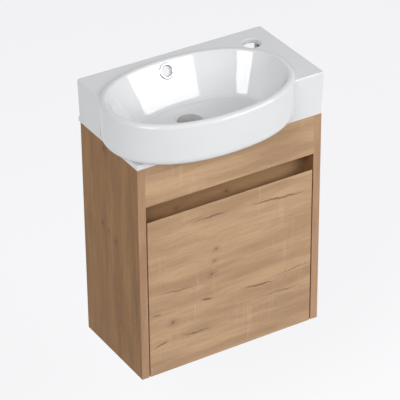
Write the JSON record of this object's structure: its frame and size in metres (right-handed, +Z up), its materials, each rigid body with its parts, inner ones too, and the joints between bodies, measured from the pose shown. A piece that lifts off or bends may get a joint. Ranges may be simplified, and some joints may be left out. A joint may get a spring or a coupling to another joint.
{
  "type": "vanity with sink",
  "caption": "Wall-hung cloakroom vanity: a narrow wood-faced cabinet with one hinged door and a finger recess, under a glazed ceramic basin with an oval bowl and a side deck.",
  "frame": {"origin": "centre of the four wall screw holes, on the plane of the wall", "axes": "+X to the right seen from the front, +Y into the wall, +Z up"},
  "size_m": [0.4023, 0.2643, 0.53],
  "materials": {
    "glaze": "white gloss glaze",
    "chrome": "polished chrome",
    "oak": "matt oak decor, grain across",
    "oak_upright": "matt oak decor, grain upright",
    "edge_band": "matt grey-brown edge band",
    "zinc": "die-cast zinc",
    "steel": "bright zinc-plated steel",
    "nickel": "nickel-plated steel",
    "beech": "plain beech",
    "buffer": "soft clear-grey buffer"
  },
  "bodies": {
    "cabinet": {"basin": "glaze", "overflow_ring": "chrome", "side_panel_left": "oak_upright", "side_panel_right": "oak_upright", "edge_band_left": "edge_band", "edge_band_right": "edge_band", "fascia": "oak", "recess_rail": "oak", "bottom_panel": "oak", "back_rail_upper": "oak", "back_rail_lower": "oak", "cam_locks": "zinc", "cam_bolts": "steel", "dowels": "beech", "hinge_arms": "nickel", "hinge_plates": "nickel", "plate_screws": "steel", "arm_screws": "steel", "hanging_bracket_left": "steel", "hanging_bracket_right": "steel", "hanger_screws": "steel", "wall_plate_left": "steel", "wall_plate_right": "steel", "door_buffers": "buffer"},
    "door": {"door_panel": "oak", "hinge_cups": "nickel", "cup_screws": "steel", "hinge_pins": "steel", "hinge_springs": "steel"}
  },
  "joints": [
    {"name": "door_swing", "type": "hinge", "parent": "cabinet", "child": "door", "pos_m": [-0.164, -0.201, -0.224], "axis": [0, 0, -1], "range_deg": [0, 95], "stiffness_Nm_per_rad": 0.05, "springref_deg": -28.65}
  ]
}
